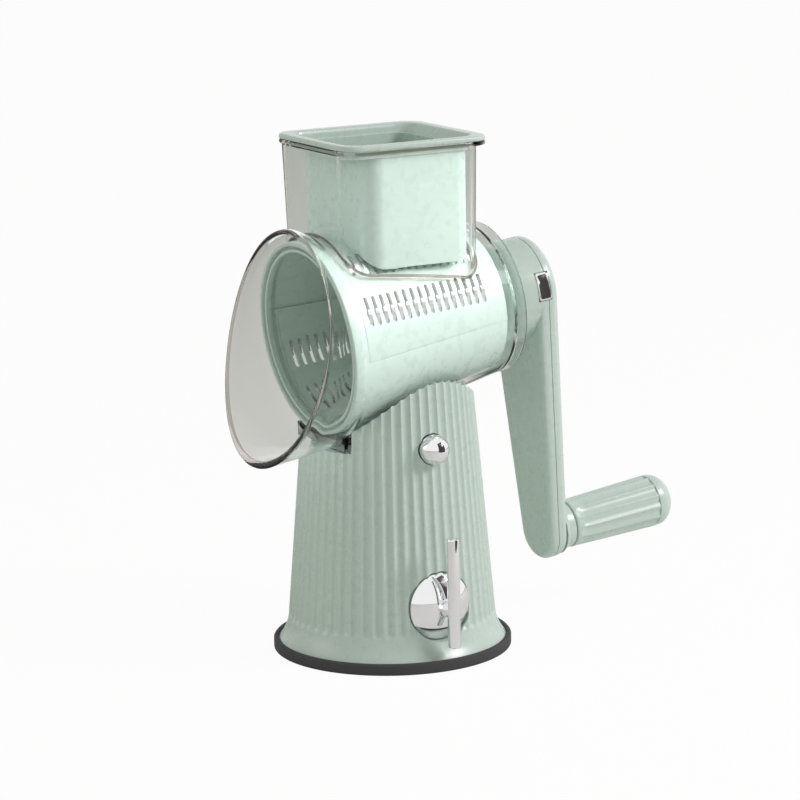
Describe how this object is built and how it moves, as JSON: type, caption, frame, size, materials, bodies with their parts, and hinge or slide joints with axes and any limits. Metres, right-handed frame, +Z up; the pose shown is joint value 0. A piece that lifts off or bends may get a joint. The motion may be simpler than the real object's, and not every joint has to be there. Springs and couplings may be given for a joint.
{
  "type": "rotary shredder",
  "caption": "Hand cranked rotary shredder: fluted conical stand with suction foot, clear barrel with hopper and slanted hood, toothed drum, pusher and crank.",
  "frame": {"origin": "middle of the circle on which the foot ring rests, on the worktop", "axes": "+Z up; the drum axis lies in the YZ plane with the open mouth toward -Y and the crank toward +Y; the suction lever and the release button are on the +X side"},
  "size_m": [0.1456, 0.2847, 0.3022],
  "materials": {
    "green_body": "glossy moulded pale green plastic",
    "clear_plastic": "clear moulded plastic",
    "steel": "satin stainless steel",
    "chrome": "mirror chrome plating",
    "dark_rubber": "dull dark rubber",
    "pale_plastic": "plain pale plastic"
  },
  "bodies": {
    "stand": {"stand_tower": "green_body", "stand_floor": "pale_plastic", "floor_screws": "steel", "foot_ring": "dark_rubber", "lever_bush": "pale_plastic", "clear_housing": "clear_plastic", "rear_bush": "pale_plastic"},
    "pusher": {"pusher_cup": "green_body"},
    "drum": {"drum_frame": "green_body", "slot_panel_upper": "green_body", "slot_panel_lower": "green_body", "tooth_plate_upper": "steel", "tooth_plate_lower": "steel", "drum_hub": "green_body", "drive_bar": "steel", "crank_front": "green_body", "crank_rear": "green_body", "cover_screws": "steel", "grip_spindle": "steel"},
    "grip": {"grip_sleeve": "green_body", "grip_cap": "green_body"},
    "crank_key": {"crank_button": "chrome", "crank_spring": "steel"},
    "release": {"release_button": "chrome", "release_catch": "pale_plastic", "release_spring": "steel"},
    "lever": {"lever_dome": "chrome", "lever_bar": "chrome", "lever_shaft": "steel"},
    "foot_pull": {"pull_stem": "pale_plastic", "suction_pad": "dark_rubber"}
  },
  "joints": [
    {"name": "pusher_lift", "type": "slide", "parent": "stand", "child": "pusher", "axis": [0, 0, 1], "range_m": [0, 0.076]},
    {"name": "drum_turn", "type": "hinge", "parent": "stand", "child": "drum", "pos_m": [0, 0, 0.1938], "axis": [0, 0.9944, 0.1054], "continuous": true},
    {"name": "grip_spin", "type": "hinge", "parent": "drum", "child": "grip", "pos_m": [-0.00263, 0.01589, 0.04386], "axis": [0, 0.9944, 0.1054], "continuous": true},
    {"name": "crank_key_press", "type": "slide", "parent": "drum", "child": "crank_key", "axis": [-0.9998, -0.0018, 0.0174], "range_m": [0, 0.0025], "stiffness_N_per_m": 1200, "springref_m": -0.001, "deforming": ["crank_spring"]},
    {"name": "release_press", "type": "slide", "parent": "stand", "child": "release", "axis": [-1, 0, 0], "range_m": [0, 0.0025], "stiffness_N_per_m": 1200, "springref_m": -0.001, "deforming": ["release_spring"]},
    {"name": "lever_turn", "type": "hinge", "parent": "stand", "child": "lever", "pos_m": [0.056, 0, 0.0355], "axis": [1, 0, 0], "range_deg": [0, 90]},
    {"name": "foot_lift", "type": "slide", "parent": "stand", "child": "foot_pull", "axis": [0, 0, 1], "range_m": [0, 0.003]}
  ],
  "couplings": [
    {"joint": "foot_lift", "follows": "lever_turn", "m_per_rad": 0.0019099}
  ]
}
